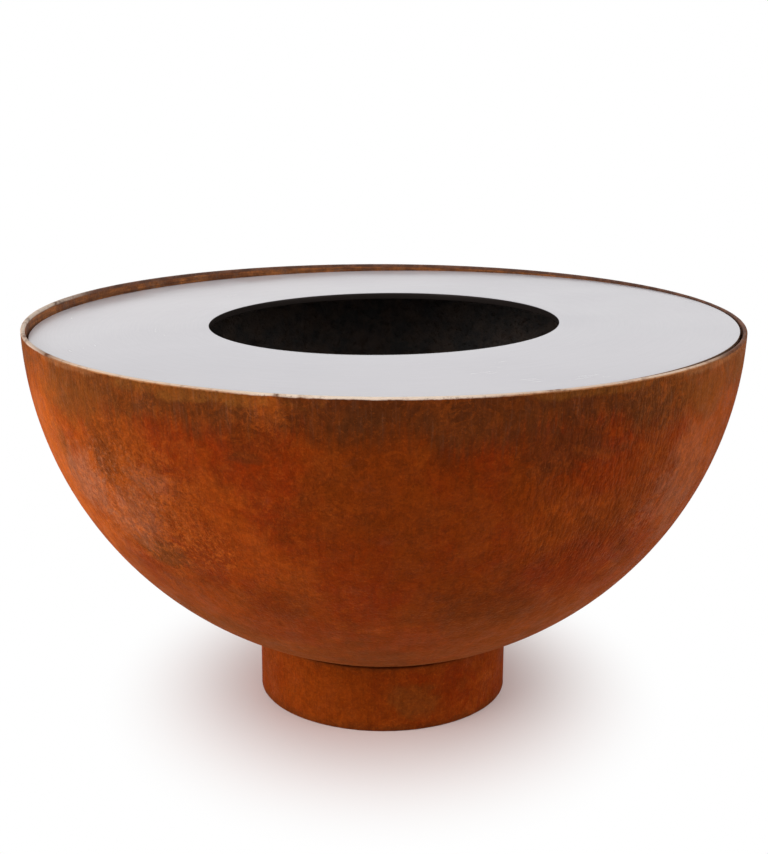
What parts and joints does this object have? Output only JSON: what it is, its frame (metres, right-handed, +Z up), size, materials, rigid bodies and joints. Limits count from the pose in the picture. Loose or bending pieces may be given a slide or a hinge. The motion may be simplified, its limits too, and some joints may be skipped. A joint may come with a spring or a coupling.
{
  "type": "fire pit with plancha grill",
  "caption": "Round weathering-steel fire bowl on a base ring, with a ring-shaped plancha cooking plate let into its lip around a central fire hole.",
  "frame": {"origin": "on the ground, in the middle of the base ring's foot", "axes": "+Z up along the bowl's axis, +X to the right and -Y towards the front as pictured"},
  "size_m": [0.9996, 0.9996, 0.5536],
  "materials": {
    "weathering_steel": "rusted orange-brown patina, rough",
    "black_steel": "sooted black heat-proof paint",
    "ground_steel": "fine ground, satin",
    "zinc_steel": "heat-dulled zinc",
    "grate_steel": "burnt black steel with light rust"
  },
  "bodies": {
    "bowl_and_base": {"fire_bowl": "weathering_steel", "base_ring": "weathering_steel", "support_gusset_1": "black_steel", "support_gusset_2": "black_steel", "support_gusset_3": "black_steel", "support_gusset_4": "black_steel", "support_pad_1": "black_steel", "support_pad_2": "black_steel", "support_pad_3": "black_steel", "support_pad_4": "black_steel"},
    "plate": {"plancha_plate": "ground_steel"},
    "grate": {"grate_bar_1": "grate_steel", "grate_bar_2": "grate_steel", "grate_bar_3": "grate_steel", "grate_bar_4": "grate_steel", "grate_bar_5": "grate_steel", "grate_bar_6": "grate_steel", "grate_bar_7": "grate_steel", "grate_cross_bar_back": "grate_steel", "grate_cross_bar_front": "grate_steel", "grate_hoop": "grate_steel", "grate_leg_1": "grate_steel", "grate_leg_2": "grate_steel", "grate_leg_3": "grate_steel", "grate_leg_4": "grate_steel"},
    "screw_1": {"levelling_screw_1": "zinc_steel", "lock_nut_1": "zinc_steel"},
    "screw_2": {"levelling_screw_2": "zinc_steel", "lock_nut_2": "zinc_steel"},
    "screw_3": {"levelling_screw_3": "zinc_steel", "lock_nut_3": "zinc_steel"},
    "screw_4": {"levelling_screw_4": "zinc_steel", "lock_nut_4": "zinc_steel"}
  },
  "joints": [
    {"name": "plate_lifts_off", "type": "slide", "parent": "bowl_and_base", "child": "plate", "axis": [0, 0, 1], "range_m": [0, 0.15]},
    {"name": "grate_lifts_out", "type": "slide", "parent": "bowl_and_base", "child": "grate", "axis": [0, 0, 1], "range_m": [0, 0.46]},
    {"name": "screw_1_height", "type": "slide", "parent": "bowl_and_base", "child": "screw_1", "axis": [0, 0, 1], "range_m": [-0.008, 0]},
    {"name": "screw_2_height", "type": "slide", "parent": "bowl_and_base", "child": "screw_2", "axis": [0, 0, 1], "range_m": [-0.008, 0]},
    {"name": "screw_3_height", "type": "slide", "parent": "bowl_and_base", "child": "screw_3", "axis": [0, 0, 1], "range_m": [-0.008, 0]},
    {"name": "screw_4_height", "type": "slide", "parent": "bowl_and_base", "child": "screw_4", "axis": [0, 0, 1], "range_m": [-0.008, 0]}
  ]
}
